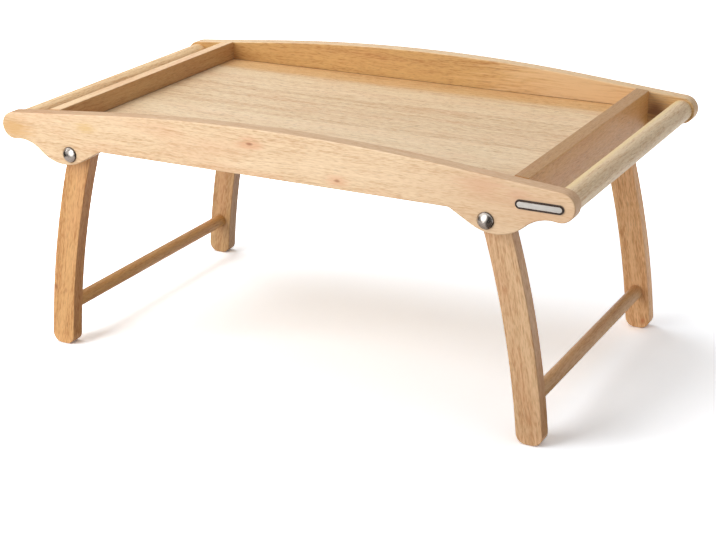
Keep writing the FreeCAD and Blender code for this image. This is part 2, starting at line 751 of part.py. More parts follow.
for thing in doc.Objects:
    if "Invalid" in thing.State or "Error" in thing.State:
        raise RuntimeError("%s did not compute: %s" % (thing.Name, thing.State))
    if thing.TypeId == "Sketcher::SketchObject" and thing.solve() != 0:
        raise RuntimeError("%s does not solve" % thing.Name)
for piece in pieces:
    if piece.Shape.isNull() or not piece.Shape.isValid():
        raise RuntimeError("%s has no sound shape" % piece.Label)

os.makedirs("parts", exist_ok=True)
for piece in pieces:
    piece.Shape.exportStep("parts/%s.step" % piece.Label)
    box = piece.Shape.BoundBox
    print("%-26s %9.0f mm3  x %7.1f %7.1f  y %7.1f %7.1f  z %6.1f %6.1f" % (
        piece.Label, piece.Shape.Volume, box.XMin, box.XMax, box.YMin, box.YMax, box.ZMin, box.ZMax))
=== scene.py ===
import math

import bmesh
import bpy
from mathutils import Euler, Matrix, Vector


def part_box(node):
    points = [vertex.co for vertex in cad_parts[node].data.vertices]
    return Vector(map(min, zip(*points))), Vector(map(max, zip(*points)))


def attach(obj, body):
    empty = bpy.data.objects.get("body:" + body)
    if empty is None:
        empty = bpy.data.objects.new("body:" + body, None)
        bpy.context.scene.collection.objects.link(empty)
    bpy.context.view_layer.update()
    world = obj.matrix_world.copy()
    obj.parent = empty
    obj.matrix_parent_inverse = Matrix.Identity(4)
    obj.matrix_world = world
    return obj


# The looks of a folding bed tray: pale rubberwood under a satin lacquer, domed nickel bolts and a
# bare nameplate, on a white floor. Metres, in the frame of the CAD: X along the tray, Y from front
# to back, Z up, feet on Z = 0. Colours are sRGB hex values.

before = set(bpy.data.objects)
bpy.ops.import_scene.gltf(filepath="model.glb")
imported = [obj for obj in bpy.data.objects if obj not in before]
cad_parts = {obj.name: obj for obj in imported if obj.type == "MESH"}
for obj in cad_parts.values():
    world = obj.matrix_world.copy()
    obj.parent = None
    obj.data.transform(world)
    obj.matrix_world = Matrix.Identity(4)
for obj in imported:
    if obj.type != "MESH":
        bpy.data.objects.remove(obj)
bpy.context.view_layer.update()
MM = 0.001

# The camera stands where the photograph was taken from. Angles in degrees, image 716 x 540.
CAMERA_SPOT = Vector((0.7339, -1.3819, 0.6737))
CAMERA_AZIMUTH = 27.86
CAMERA_ELEVATION = 21.09
CAMERA_ROLL = -0.59
# in millimetres
CAMERA_LENS = 81.6
CAMERA_SENSOR = 36


def linear(code):
    """A colour for a shader from its sRGB hex value."""
    parts = [int(code[i:i + 2], 16) / 255 for i in (1, 3, 5)]
    return [p / 12.92 if p <= 0.04045 else ((p + 0.055) / 1.055) ** 2.4 for p in parts] + [1.0]


def add_node(tree, kind, inputs, **settings):
    """Adds a node with its settings. Each input is a value or another node's output."""
    made = tree.nodes.new(kind)
    for name, setting in settings.items():
        setattr(made, name, setting)
    for name, source in inputs.items():
        if isinstance(source, bpy.types.NodeSocket):
            tree.links.new(source, made.inputs[name])
        else:
            made.inputs[name].default_value = source
    return made


def new_material(name):
    """An empty material, its node tree and its Principled shader."""
    material = bpy.data.materials.new(name)
    material.use_nodes = True
    return material, material.node_tree, material.node_tree.nodes["Principled BSDF"]


# ---------------------------------------------------------------- wood

# Rubberwood: pale, straight in the grain, with soft growth bands, light and dark streaks, short
# dark vessel lines that the lacquer fills, and patches of salmon tone.
# Each pattern: length along the grain, width across it, detail, and the noise at which it starts
# and is full.
# Real fibres and vessel lines are 0.2 mm wide and are drawn wider here, so that they show.
PATTERNS = {
    "bands": (260 * MM, 9 * MM, 2.0, 0.36, 0.64),
    "streaks": (44 * MM, 1.6 * MM, 3.0, 0.34, 0.66),
    "fibres": (7 * MM, 0.9 * MM, 2.0, 0.34, 0.66),
    "patches": (95 * MM, 26 * MM, 2.0, 0.46, 0.72),
    "vessels": (8 * MM, 0.9 * MM, 1.0, 0.60, 0.74),
}
# how far each pattern swings the tone, where 1 is all the way from pale to deep
BAND_SHARE = 0.24
STREAK_SHARE = 0.34
FIBRE_SHARE = 0.46
STAVE_SHARE = 0.22
RING_SHARE = 0.24
# pale and deep wood as shares of the middle tone's red, green and blue light
PALE = (1.13, 1.18, 1.28)
DEEP = (0.77, 0.62, 0.50)
# tones of the patches, of the filled vessel lines and of the painted shade in the panel's corners
PATCH_TONE = "#DE9C70"
VESSEL_TONE = "#8A6238"
CORNER_SHADE_TONE = "#7A4E28"
# the fibres' slow wander: its length, its width of a ninth of a metre, and how far to each side
WANDER_LENGTH = 100 * MM
WANDER_WIDTH = 1 / 9
WANDER_SIDE = 4 * MM
# a seed moves the pattern by metres along the grain, and by this share of them across it
SEED_ACROSS = 0.37
# growth rings: width, lean of the bar against the trunk, and their sway in ring widths
RING_WIDTH = 5.5 * MM
RING_TILT = 0.045
RING_SWAY = 1.6
# the first stave's tint fades out between these shares of its width
STAVE_FADE = 0.6
STAVE_END = 0.85
# how squarely a face looks along the axis where the painted shade on the others starts,
# and where it is full
SIDE_SHADE_START = 0.85
SIDE_SHADE_FULL = 0.35
# how squarely a face cuts the grain where it starts to darken, and how much of deep wood it gets
END_GRAIN_START = 0.35
END_GRAIN_SHARE = 0.5
# knots, spots and a strip of painted highlight: the share of a distance that is left out along
# the grain, which draws them out. Then, in shares of their radius, for these and for stains and
# painted shade: how far the streaks fray them, where they start and are full.
MARK_DRAW = 0.5
MARK_FRAY = 0.5
MARK_OUTER = 1.25
MARK_INNER = 0.35
# a stain or a mark of painted shade reaches a third as far across a board, along Y,
# as over its face
SKIN_DEEP = Vector((1, 3, 1))
# the line of painted shade along the panel's edges, where it meets the boards and rails,
# and its strength
CORNER_LINE = 2.0 * MM
CORNER_SHARE = 0.75
# satin lacquer: its roughness over pale and over dark fibres
SATIN = (0.42, 0.56)
LACQUER_IOR = 1.5
# the relief under it: depth of the vessel lines, height of the fibres as a share of that depth,
# and how much of both still shows
VESSEL_DEPTH = 0.06 * MM
FIBRE_RELIEF = 0.35
RELIEF_SHARE = 0.5


def rubberwood(name, tone, along, seed, contrast=1.0, vessels=0.35, blush=0.3, side_shade=None,
               staves=None, rings=None, marks=(), shaded_corners=None, stains_and_shade=()):
    """Sawn, sanded wood under satin lacquer: soft sheen, and darker where end grain shows.

    tone: the middle tone. along: turns the grain's direction onto X, in degrees about X, Y and Z.
    seed: the place in the tree. vessels, blush: strength of dark lines and salmon patches.
    side_shade: an axis, and the tint of painted shade on the faces that don't look along it.
    staves: width of a panel's glued staves, where the first one starts, and its tint.
    rings: middle of the growth rings in X and Z, for a turned bar along Y. marks: x, z, radius,
    colour and strength of knots and spots, and of a strip of painted highlight.
    shaded_corners: half length and half width of the panel that shows, where a line of painted
    shade runs along its edges. stains_and_shade: x, y, z, radius, colour and strength of spots
    that are only skin deep: stains, and painted shade.
    """
    material, tree, shader = new_material(name)
    spot = add_node(tree, "ShaderNodeTexCoord", {}).outputs["Object"]
    facing = add_node(tree, "ShaderNodeTexCoord", {}).outputs["Normal"]
    axes = add_node(tree, "ShaderNodeSeparateXYZ", {"Vector": spot})
    turn = [math.radians(angle) for angle in along]
    wood = add_node(tree, "ShaderNodeMapping", {
        "Vector": spot, "Location": (seed, SEED_ACROSS * seed, 0), "Rotation": turn})
    grain = wood.outputs["Vector"]

    if staves:
        # each stave comes from another plank, so the pattern jumps at its joints
        width, start, first_tint = staves
        across = add_node(tree, "ShaderNodeMath", {0: start, 1: axes.outputs["Y"]},
                          operation="SUBTRACT")
        counted = add_node(tree, "ShaderNodeMath", {0: across.outputs[0], 1: width},
                           operation="DIVIDE")
        stave = add_node(tree, "ShaderNodeMath", {0: counted.outputs[0]}, operation="FLOOR")
        chance = add_node(tree, "ShaderNodeTexWhiteNoise", {"W": stave.outputs[0]},
                          noise_dimensions="1D")
        grain = add_node(tree, "ShaderNodeVectorMath", {0: grain, 1: chance.outputs["Color"]},
                         operation="ADD").outputs[0]

    # the fibres wander a little to each side
    stretch = (1 / WANDER_LENGTH, 1 / WANDER_WIDTH, 1 / WANDER_WIDTH)
    place = add_node(tree, "ShaderNodeVectorMath", {0: grain, 1: stretch}, operation="MULTIPLY")
    wander = add_node(tree, "ShaderNodeTexNoise", {
        "Vector": place.outputs[0], "Scale": 1.0, "Detail": 1.0})
    centred = add_node(tree, "ShaderNodeVectorMath", {
        0: wander.outputs["Color"], 1: (0.5, 0.5, 0.5)}, operation="SUBTRACT")
    aside = add_node(tree, "ShaderNodeVectorMath", {
        0: centred.outputs[0], 1: (0, 2 * WANDER_SIDE, 2 * WANDER_SIDE)}, operation="MULTIPLY")
    wavy = add_node(tree, "ShaderNodeVectorMath", {0: grain, 1: aside.outputs[0]},
                    operation="ADD").outputs[0]

    patterns = {}
    for label, (length, width, detail, low, high) in PATTERNS.items():
        place = add_node(tree, "ShaderNodeVectorMath", {
            0: wavy, 1: (1 / length, 1 / width, 1 / width)}, operation="MULTIPLY")
        noise = add_node(tree, "ShaderNodeTexNoise", {
            "Vector": place.outputs[0], "Scale": 1.0, "Detail": detail})
        spread = add_node(tree, "ShaderNodeMapRange", {
            "Value": noise.outputs[0], "From Min": low, "From Max": high})
        patterns[label] = spread.outputs[0]

    shares = [(patterns["bands"], BAND_SHARE), (patterns["streaks"], STREAK_SHARE),
              (patterns["fibres"], FIBRE_SHARE)]
    if staves:
        shares.append((chance.outputs["Value"], STAVE_SHARE))
    if rings:
        # the bar leans in the trunk, so the rings cut it in long arches
        level = add_node(tree, "ShaderNodeVectorMath", {0: spot, 1: (1, 0, 1)},
                         operation="MULTIPLY")
        reach = add_node(tree, "ShaderNodeVectorMath", {
            0: level.outputs[0], 1: (rings[0], 0, rings[1])}, operation="DISTANCE")
        sway = add_node(tree, "ShaderNodeMath", {
            0: wander.outputs[0], 1: RING_SWAY * RING_WIDTH, 2: reach.outputs["Value"]},
                        operation="MULTIPLY_ADD")
        lean = add_node(tree, "ShaderNodeMath", {
            0: axes.outputs["Y"], 1: RING_TILT, 2: sway.outputs[0]}, operation="MULTIPLY_ADD")
        turns = add_node(tree, "ShaderNodeMath", {
            0: lean.outputs[0], 1: 2 * math.pi / RING_WIDTH}, operation="MULTIPLY")
        swing = add_node(tree, "ShaderNodeMath", {0: turns.outputs[0]}, operation="SINE")
        ring = add_node(tree, "ShaderNodeMapRange", {"Value": swing.outputs[0], "From Min": -1.0})
        shares.append((ring.outputs[0], RING_SHARE))
    depth = 0.5
    for pattern, share in shares:
        # each pattern swings about the middle tone
        half = 0.5 * share * contrast
        swung = add_node(tree, "ShaderNodeMapRange", {
            "Value": pattern, "To Min": -half, "To Max": half})
        depth = add_node(tree, "ShaderNodeMath", {0: swung.outputs[0], 1: depth},
                         operation="ADD").outputs[0]

    middle = linear(tone)
    pale, deep = [[min(light * share, 1.0) for light, share in zip(middle, end)] + [1.0]
                  for end in (PALE, DEEP)]
    colour = add_node(tree, "ShaderNodeValToRGB", {"Fac": depth})
    ramp = colour.color_ramp
    ramp.elements[0].color = pale
    ramp.elements[1].color = deep
    ramp.elements.new(0.5).color = middle
    surface = colour.outputs[0]

    for pattern, strength, tint in (("patches", blush, PATCH_TONE),
                                    ("vessels", vessels, VESSEL_TONE)):
        part = add_node(tree, "ShaderNodeMath", {0: patterns[pattern], 1: strength},
                        operation="MULTIPLY")
        surface = add_node(tree, "ShaderNodeMix", {
            "Factor": part.outputs[0], 6: surface, 7: linear(tint)}, data_type="RGBA").outputs[2]
    if staves:
        first = add_node(tree, "ShaderNodeMapRange", {
            "Value": counted.outputs[0], "From Min": STAVE_END, "From Max": STAVE_FADE})
        surface = add_node(tree, "ShaderNodeMix", {
            "Factor": first.outputs[0], 6: surface, 7: linear(first_tint)},
                           data_type="RGBA", blend_type="MULTIPLY").outputs[2]
    # painted shade: the faces that don't look along the axis take a darker tint
    if side_shade:
        axis, tint = side_shade
        parts = add_node(tree, "ShaderNodeSeparateXYZ", {"Vector": facing})
        size = add_node(tree, "ShaderNodeMath", {0: parts.outputs[axis]}, operation="ABSOLUTE")
        share = add_node(tree, "ShaderNodeMapRange", {
            "Value": size.outputs[0], "From Min": SIDE_SHADE_START, "From Max": SIDE_SHADE_FULL})
        surface = add_node(tree, "ShaderNodeMix", {
            "Factor": share.outputs[0], 6: surface, 7: linear(tint)},
                           data_type="RGBA", blend_type="MULTIPLY").outputs[2]

    # end grain drinks the lacquer and turns darker
    turned = add_node(tree, "ShaderNodeMapping", {"Vector": facing, "Rotation": turn},
                      vector_type="NORMAL")
    parts = add_node(tree, "ShaderNodeSeparateXYZ", {"Vector": turned.outputs["Vector"]})
    size = add_node(tree, "ShaderNodeMath", {0: parts.outputs["X"]}, operation="ABSOLUTE")
    ends = add_node(tree, "ShaderNodeMapRange", {
        "Value": size.outputs[0], "From Min": END_GRAIN_START, "To Max": END_GRAIN_SHARE},
                    interpolation_type="SMOOTHSTEP")
    surface = add_node(tree, "ShaderNodeMix", {"Factor": ends.outputs[0], 6: surface, 7: deep},
                       data_type="RGBA").outputs[2]

    # knots, spots and the painted highlight go right through the wood along Y, and stains and
    # painted shade stay in its skin
    run = Euler(turn).to_matrix().transposed() @ Vector((1, 0, 0))
    through = Vector((1 - MARK_DRAW * abs(run.x), 0, 1 - MARK_DRAW * abs(run.z)))
    spots = [(Vector((x, 0, z)), through, *look) for x, z, *look in marks]
    spots += [(Vector((x, y, z)), SKIN_DEEP, *look) for x, y, z, *look in stains_and_shade]
    for centre, squeeze, radius, spot_tone, strength in spots:
        level = add_node(tree, "ShaderNodeVectorMath", {0: spot, 1: squeeze}, operation="MULTIPLY")
        away = add_node(tree, "ShaderNodeVectorMath", {
            0: level.outputs[0], 1: squeeze * centre}, operation="DISTANCE")
        frayed = add_node(tree, "ShaderNodeMath", {
            0: patterns["streaks"], 1: MARK_FRAY * radius, 2: away.outputs["Value"]},
                          operation="MULTIPLY_ADD")
        near = add_node(tree, "ShaderNodeMapRange", {
            "Value": frayed.outputs[0], "From Min": MARK_OUTER * radius,
            "From Max": MARK_INNER * radius, "To Max": strength}, interpolation_type="SMOOTHSTEP")
        surface = add_node(tree, "ShaderNodeMix", {
            "Factor": near.outputs[0], 6: surface, 7: linear(spot_tone)},
                           data_type="RGBA").outputs[2]

    # painted shade: a dark line along the panel's edges, where it meets the boards and rails
    if shaded_corners:
        for axis, half in zip("XY", shaded_corners):
            size = add_node(tree, "ShaderNodeMath", {0: axes.outputs[axis]}, operation="ABSOLUTE")
            line = add_node(tree, "ShaderNodeMapRange", {
                "Value": size.outputs[0], "From Min": half - CORNER_LINE, "From Max": half,
                "To Max": CORNER_SHARE})
            surface = add_node(tree, "ShaderNodeMix", {
                "Factor": line.outputs[0], 6: surface, 7: linear(CORNER_SHADE_TONE)},
                               data_type="RGBA").outputs[2]

    tree.links.new(surface, shader.inputs["Base Color"])
    gloss = add_node(tree, "ShaderNodeMapRange", {
        "Value": patterns["fibres"], "To Min": SATIN[0], "To Max": SATIN[1]})
    tree.links.new(gloss.outputs[0], shader.inputs["Roughness"])
    hollow = add_node(tree, "ShaderNodeMath", {0: patterns["vessels"], 1: -1.0, 2: 1.0},
                      operation="MULTIPLY_ADD")
    relief = add_node(tree, "ShaderNodeMath", {
        0: patterns["fibres"], 1: FIBRE_RELIEF, 2: hollow.outputs[0]}, operation="MULTIPLY_ADD")
    bump = add_node(tree, "ShaderNodeBump", {
        "Height": relief.outputs[0], "Strength": RELIEF_SHARE, "Distance": VESSEL_DEPTH})
    tree.links.new(bump.outputs[0], shader.inputs["Normal"])
    shader.inputs["IOR"].default_value = LACQUER_IOR
    return material


# directions of the grain: a leg's grain leans this many degrees from upright
LEG_LEAN = 10.4
ALONG_X = (0, 0, 0)
ALONG_Y = (0, 0, 90)
ALONG_LEFT_LEG = (0, 90 - LEG_LEAN, 0)
ALONG_RIGHT_LEG = (0, 90 + LEG_LEAN, 0)
# half the width and half the length of the tray's inside
BOARD_INSIDE = -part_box("front_side_board")[1][1]
RAIL_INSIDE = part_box("right_end_rail")[0][0]
SOCKET_RING = 9 * MM

# each piece's tint for the faces that don't look along its axis is painted shade, darkening the sides
# that the lamps light less
WOODS = {
    # honey at the left nose, two knots with dark cores, a yellow spot, salmon at the right, and a
    # wide patch that darkens the right end
    "front_side_board": dict(
        tone="#EACAA2", along=ALONG_X, seed=0.0, vessels=0.2, side_shade=("Y", "#E1D7CC"), marks=(
            (-0.2870, 0.2330, 16 * MM, "#D6A25E", 0.7),
            (-0.0147, 0.2510, 9 * MM, "#E2A47A", 0.6),
            (-0.0147, 0.2510, 2.2 * MM, "#A3623C", 0.8),
            (0.0758, 0.2286, 8 * MM, "#E2A47A", 0.5),
            (0.0758, 0.2286, 2.0 * MM, "#A3623C", 0.8),
            (-0.1987, 0.2430, 8 * MM, "#E0B878", 0.7),
            (0.2150, 0.2425, 16 * MM, "#DFA27C", 0.5),
            (0.2478, 0.2397, 9 * MM, "#DFA084", 0.45),
            (0.2400, 0.2300, 62 * MM, "#D8AE86", 0.4))),
    # more even at the right; beyond the right rail, a painted shadow of the rail and the bar
    # on the board's inner face
    "back_side_board": dict(
        tone="#E5C497", along=ALONG_X, seed=1.7, contrast=1.3, blush=0.2, side_shade=("Z", "#E0CC9F"),
        marks=((0.1900, 0.2450, 75 * MM, "#E8C494", 0.75),),
        stains_and_shade=((0.2600, BOARD_INSIDE, 0.2320, 18 * MM, "#7C4A26", 0.85),)),
    # a dark line of painted shade runs along the panel's edges
    "tray_panel": dict(
        tone="#E4C8A0", along=ALONG_X, seed=3.1, contrast=1.25, vessels=0.6, blush=0.15,
        staves=(47 * MM, BOARD_INSIDE, "#F2E0C2"), shaded_corners=(RAIL_INSIDE, BOARD_INSIDE)),
    "left_end_rail": dict(tone="#F4D0A2", along=ALONG_Y, seed=4.3, side_shade=("Z", "#CCBCA2")),
    "right_end_rail": dict(
        tone="#D09E61", along=ALONG_Y, seed=5.9, contrast=0.8, blush=0.15, side_shade=("X", "#DCD9D4")),
    "left_handle_bar": dict(
        tone="#F2CF9C", along=ALONG_Y, seed=7.3, blush=0.15, rings=(-270 * MM, 244 * MM)),
    # a yellow strip of painted highlight runs along the top of the right bar
    "right_handle_bar": dict(
        tone="#E6CAA2", along=ALONG_Y, seed=8.9, contrast=0.8, blush=0.1,
        rings=(302 * MM, 244 * MM), marks=((282.7 * MM, 244.8 * MM, 6 * MM, "#E8CE96", 0.8),)),
    "front_left_leg": dict(
        tone="#D39F64", along=ALONG_LEFT_LEG, seed=10.1, contrast=1.7, side_shade=("Y", "#DCD2CA"),
        marks=((-0.2625, 0.0628, 2.6 * MM, "#9A5C30", 0.8),
               (-0.2506, 0.0605, 2.0 * MM, "#B0713F", 0.6))),
    "back_left_leg": dict(
        tone="#BE9665", along=ALONG_LEFT_LEG, seed=11.7, contrast=1.7, side_shade=("Y", "#DCD2CA")),
    "front_right_leg": dict(
        tone="#D6AD80", along=ALONG_RIGHT_LEG, seed=13.3, contrast=1.7, side_shade=("Y", "#F0E6DC")),
    # lighter than the other legs: painted light against the tray's shadow on this leg
    "back_right_leg": dict(
        tone="#EEBB84", along=ALONG_RIGHT_LEG, seed=14.9, contrast=1.7, side_shade=("Y", "#FAF4EC"),
        marks=((0.2640, 0.0083, 3.2 * MM, "#C4662C", 0.85),)),
    "left_stretcher": dict(tone="#BC8D52", along=ALONG_Y, seed=16.1),
    "right_stretcher": dict(tone="#C89A66", along=ALONG_Y, seed=17.7),
    "left_rail_pegs": dict(tone="#D4B285", along=ALONG_Y, seed=19.3),
    "right_rail_pegs": dict(tone="#D4B285", along=ALONG_Y, seed=20.9),
}


def socket_stain_and_shade(name):
    """Dark ring round a stretcher's end on its leg: glue, lacquer and painted shade."""
    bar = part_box("left_stretcher" if "left" in name else "right_stretcher")
    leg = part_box(name)
    # the stretcher enters the side of the leg that looks to the middle of the tray
    inner = min(leg[0][1], leg[1][1], key=abs)
    return ((bar[0][0] + bar[1][0]) / 2, inner, (bar[0][2] + bar[1][2]) / 2,
            SOCKET_RING, "#8A5628", 0.75)


# ---------------------------------------------------------------- metal

# the bolts' axes stand at plus and minus this X
BOLT_LOW, BOLT_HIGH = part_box("front_right_hinge_bolt")
HINGE_X = (BOLT_LOW[0] + BOLT_HIGH[0]) / 2
HINGE_Z = (BOLT_LOW[2] + BOLT_HIGH[2]) / 2
HEAD_RADIUS = (BOLT_HIGH[0] - BOLT_LOW[0]) / 2
# width of the painted shade at the rim of a bolt's head, where it meets the board
RIM_SHADE_WIDTH = 1.0 * MM
# the middle part of a noise's range, which holds nearly all of its values
NOISE_LOW = 0.3
NOISE_HIGH = 0.7
# roughness, from the low to the high end of each metal's noise
BUFFED = (0.20, 0.30)
PLATED = (0.30, 0.45)
BRUSHED = (0.38, 0.52)
ENAMEL_ROUGHNESS = 0.35
# sizes of patterns
MOP_HAZE = 3 * MM
SPANGLE = 2 * MM
DUST = 1.5 * MM
# brush lines are 0.05 mm apart and are drawn at 0.4 mm, so that they show
BRUSH_LENGTH = 9 * MM
BRUSH_WIDTH = 0.4 * MM


def polished_nickel():
    """Nickel plate on a steel bolt, buffed: mirror-like, with a faint haze from the mop.

    The rim of the head is darkened to brown as painted shade where it meets the board. The same
    brown is given to all nickel that lies farther from the bolts, as on the nameplate's rim.
    """
    material, tree, shader = new_material("polished_nickel")
    spot = add_node(tree, "ShaderNodeTexCoord", {}).outputs["Object"]
    # painted shade: brown over the outer millimetre of each head, and beyond the heads
    mirrored = add_node(tree, "ShaderNodeVectorMath", {0: spot}, operation="ABSOLUTE")
    level = add_node(tree, "ShaderNodeVectorMath", {0: mirrored.outputs[0], 1: (1, 0, 1)},
                     operation="MULTIPLY")
    out = add_node(tree, "ShaderNodeVectorMath", {
        0: level.outputs[0], 1: (HINGE_X, 0, HINGE_Z)}, operation="DISTANCE")
    rim = add_node(tree, "ShaderNodeMapRange", {
        "Value": out.outputs["Value"], "From Min": HEAD_RADIUS - RIM_SHADE_WIDTH,
        "From Max": HEAD_RADIUS}, interpolation_type="SMOOTHSTEP")
    tone = add_node(tree, "ShaderNodeMix", {
        "Factor": rim.outputs[0], 6: linear("#C9C1B9"), 7: linear("#4A3A30")}, data_type="RGBA")
    tree.links.new(tone.outputs[2], shader.inputs["Base Color"])
    haze = add_node(tree, "ShaderNodeTexNoise", {
        "Vector": spot, "Scale": 1 / MOP_HAZE, "Detail": 4.0})
    rough = add_node(tree, "ShaderNodeMapRange", {
        "Value": haze.outputs[0], "From Min": NOISE_LOW, "From Max": NOISE_HIGH,
        "To Min": BUFFED[0], "To Max": BUFFED[1]})
    tree.links.new(rough.outputs[0], shader.inputs["Roughness"])
    shader.inputs["Metallic"].default_value = 1.0
    return material


def zinc_plate():
    """Bright zinc on stamped washers and nuts: greyish, with a cloudy spangle."""
    material, tree, shader = new_material("zinc_plate")
    spot = add_node(tree, "ShaderNodeTexCoord", {}).outputs["Object"]
    cloud = add_node(tree, "ShaderNodeTexNoise", {
        "Vector": spot, "Scale": 1 / SPANGLE, "Detail": 3.0})
    tone = add_node(tree, "ShaderNodeMix", {
        "Factor": cloud.outputs[0], 6: linear("#9FA3A6"), 7: linear("#C3C4C2")}, data_type="RGBA")
    tree.links.new(tone.outputs[2], shader.inputs["Base Color"])
    rough = add_node(tree, "ShaderNodeMapRange", {
        "Value": cloud.outputs[0], "From Min": NOISE_LOW, "From Max": NOISE_HIGH,
        "To Min": PLATED[0], "To Max": PLATED[1]})
    tree.links.new(rough.outputs[0], shader.inputs["Roughness"])
    shader.inputs["Metallic"].default_value = 1.0
    return material


def satin_aluminium():
    """The plate's field, brushed along its length: pale, with fine bright and dull lines."""
    material, tree, shader = new_material("satin_aluminium")
    spot = add_node(tree, "ShaderNodeTexCoord", {}).outputs["Object"]
    drawn = add_node(tree, "ShaderNodeVectorMath", {
        0: spot, 1: (1 / BRUSH_LENGTH, 1, 1 / BRUSH_WIDTH)}, operation="MULTIPLY")
    lines = add_node(tree, "ShaderNodeTexNoise", {
        "Vector": drawn.outputs[0], "Scale": 1.0, "Detail": 2.0})
    tone = add_node(tree, "ShaderNodeMix", {
        "Factor": lines.outputs[0], 6: linear("#A09C96"), 7: linear("#D6D2CC")}, data_type="RGBA")
    tree.links.new(tone.outputs[2], shader.inputs["Base Color"])
    rough = add_node(tree, "ShaderNodeMapRange", {
        "Value": lines.outputs[0], "From Min": NOISE_LOW, "From Max": NOISE_HIGH,
        "To Min": BRUSHED[0], "To Max": BRUSHED[1]})
    tree.links.new(rough.outputs[0], shader.inputs["Roughness"])
    shader.inputs["Metallic"].default_value = 1.0
    return material


def black_enamel():
    """Baked enamel on the plate's border: near black, smooth, with a brown cast and dust."""
    material, tree, shader = new_material("black_enamel")
    spot = add_node(tree, "ShaderNodeTexCoord", {}).outputs["Object"]
    dust = add_node(tree, "ShaderNodeTexNoise", {"Vector": spot, "Scale": 1 / DUST, "Detail": 3.0})
    tone = add_node(tree, "ShaderNodeMix", {
        "Factor": dust.outputs[0], 6: linear("#1E1614"), 7: linear("#3A2E2A")}, data_type="RGBA")
    tree.links.new(tone.outputs[2], shader.inputs["Base Color"])
    shader.inputs["Roughness"].default_value = ENAMEL_ROUGHNESS
    return material


# ---------------------------------------------------------------- nameplate

PLATE_LENGTH = 44 * MM
PLATE_HEIGHT = 8.3 * MM
PLATE_THICK = 0.9 * MM
PLATE_MIDDLE_X = 268.3 * MM
PLATE_MIDDLE_Z = 233.0 * MM
PLATE_CORNERS = 48
BORDER = 0.6 * MM
RIM = 0.7 * MM
RIM_RISE = 0.35 * MM
RIM_SLOPE = 0.2 * MM
# rounding may put the circle's two middle corners a hair to the left, and they go to the right
HAIR = 0.002 * MM
# places in the plate's list of materials
FIELD, RIM_METAL, ENAMEL = range(3)


def nameplate():
    """A bare stadium-shaped plate, stamped: black border, raised brown rim, flat brushed field."""
    shape = bmesh.new()
    bmesh.ops.create_circle(shape, cap_ends=True, segments=PLATE_CORNERS, radius=PLATE_HEIGHT / 2)
    # the circle's halves move apart into a stadium
    shift = (PLATE_LENGTH - PLATE_HEIGHT) / 2
    for corner in shape.verts:
        corner.co.x += shift if corner.co.x > -HAIR else -shift
    risen = bmesh.ops.extrude_face_region(shape, geom=shape.faces[:])
    top = [item for item in risen["geom"] if isinstance(item, bmesh.types.BMFace)]
    lifted = list({corner for face in top for corner in face.verts})
    bmesh.ops.translate(shape, vec=(0, 0, PLATE_THICK), verts=lifted)
    # border, the rim's outer slope, the rim's top and its inner slope
    for width, rise, finish in ((BORDER, 0.0, ENAMEL), (RIM_SLOPE, RIM_RISE, RIM_METAL),
                                (RIM, 0.0, RIM_METAL), (RIM_SLOPE, -RIM_RISE / 2, RIM_METAL)):
        step = bmesh.ops.inset_region(shape, faces=top, thickness=width, depth=0.0,
                                      use_even_offset=True)
        lifted = list({corner for face in top for corner in face.verts})
        bmesh.ops.translate(shape, vec=(0, 0, rise), verts=lifted)
        for face in step["faces"]:
            face.material_index = finish
    for face in top:
        face.material_index = FIELD
    for face in shape.faces:
        # the plate's edge is enamelled as its border is
        if abs(face.normal.z) < 0.5 and face.calc_center_median().z < PLATE_THICK:
            face.material_index = ENAMEL
        face.smooth = False
    # it stands on the board's outer face and looks along -Y
    stand = Matrix.Translation((PLATE_MIDDLE_X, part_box("front_side_board")[0][1], PLATE_MIDDLE_Z))
    stand = stand @ Matrix.Rotation(math.radians(90), 4, "X")
    bmesh.ops.transform(shape, matrix=stand, verts=shape.verts)
    bmesh.ops.recalc_face_normals(shape, faces=shape.faces)
    mesh = bpy.data.meshes.new("nameplate")
    shape.to_mesh(mesh)
    shape.free()
    for material in (satin_aluminium(), nickel, black_enamel()):
        mesh.materials.append(material)
    plate = bpy.data.objects.new("nameplate", mesh)
    bpy.context.scene.collection.objects.link(plate)
    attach(plate, "tray")


# ---------------------------------------------------------------- stage

# the world's strength on the object
AMBIENT = 0.38
FLOOR_SIZE = 40
# the floor lies this far below the feet, so that the two don't flicker
FLOOR_DROP = 0.2 * MM
# the floor's colour to the object, which it lights from below
FLOOR_WHITE = "#E6E6E4"
# its colour to the camera and in metal, by the tray and far from it: lighter than white, so that
# it comes out white. The blue by the tray takes the wood's warm glow out of the shadows.
FLOOR_NEAR = (1.58, 1.66, 1.75, 1.0)
FLOOR_FAR = (2.4, 2.4, 2.45, 1.0)
# how far from the middle the first colour ends and the second one starts
NEAR_END = 0.30
FAR_START = 0.55

# soft boxes: place, where they look, width, height and power in watts
LAMPS = {
    "key_lamp": ((-1.10, -1.50, 0.98), (0, 0, 0.15), 1.5, 1.8, 29),
    "top_lamp": ((-0.8, 0.3, 1.75), (0, 0, 0.2), 1.2, 1.2, 12.5),
    "fill_lamp": ((1.9, -0.9, 0.7), (0.2, 0, 0.15), 1.0, 1.0, 2.5),
}

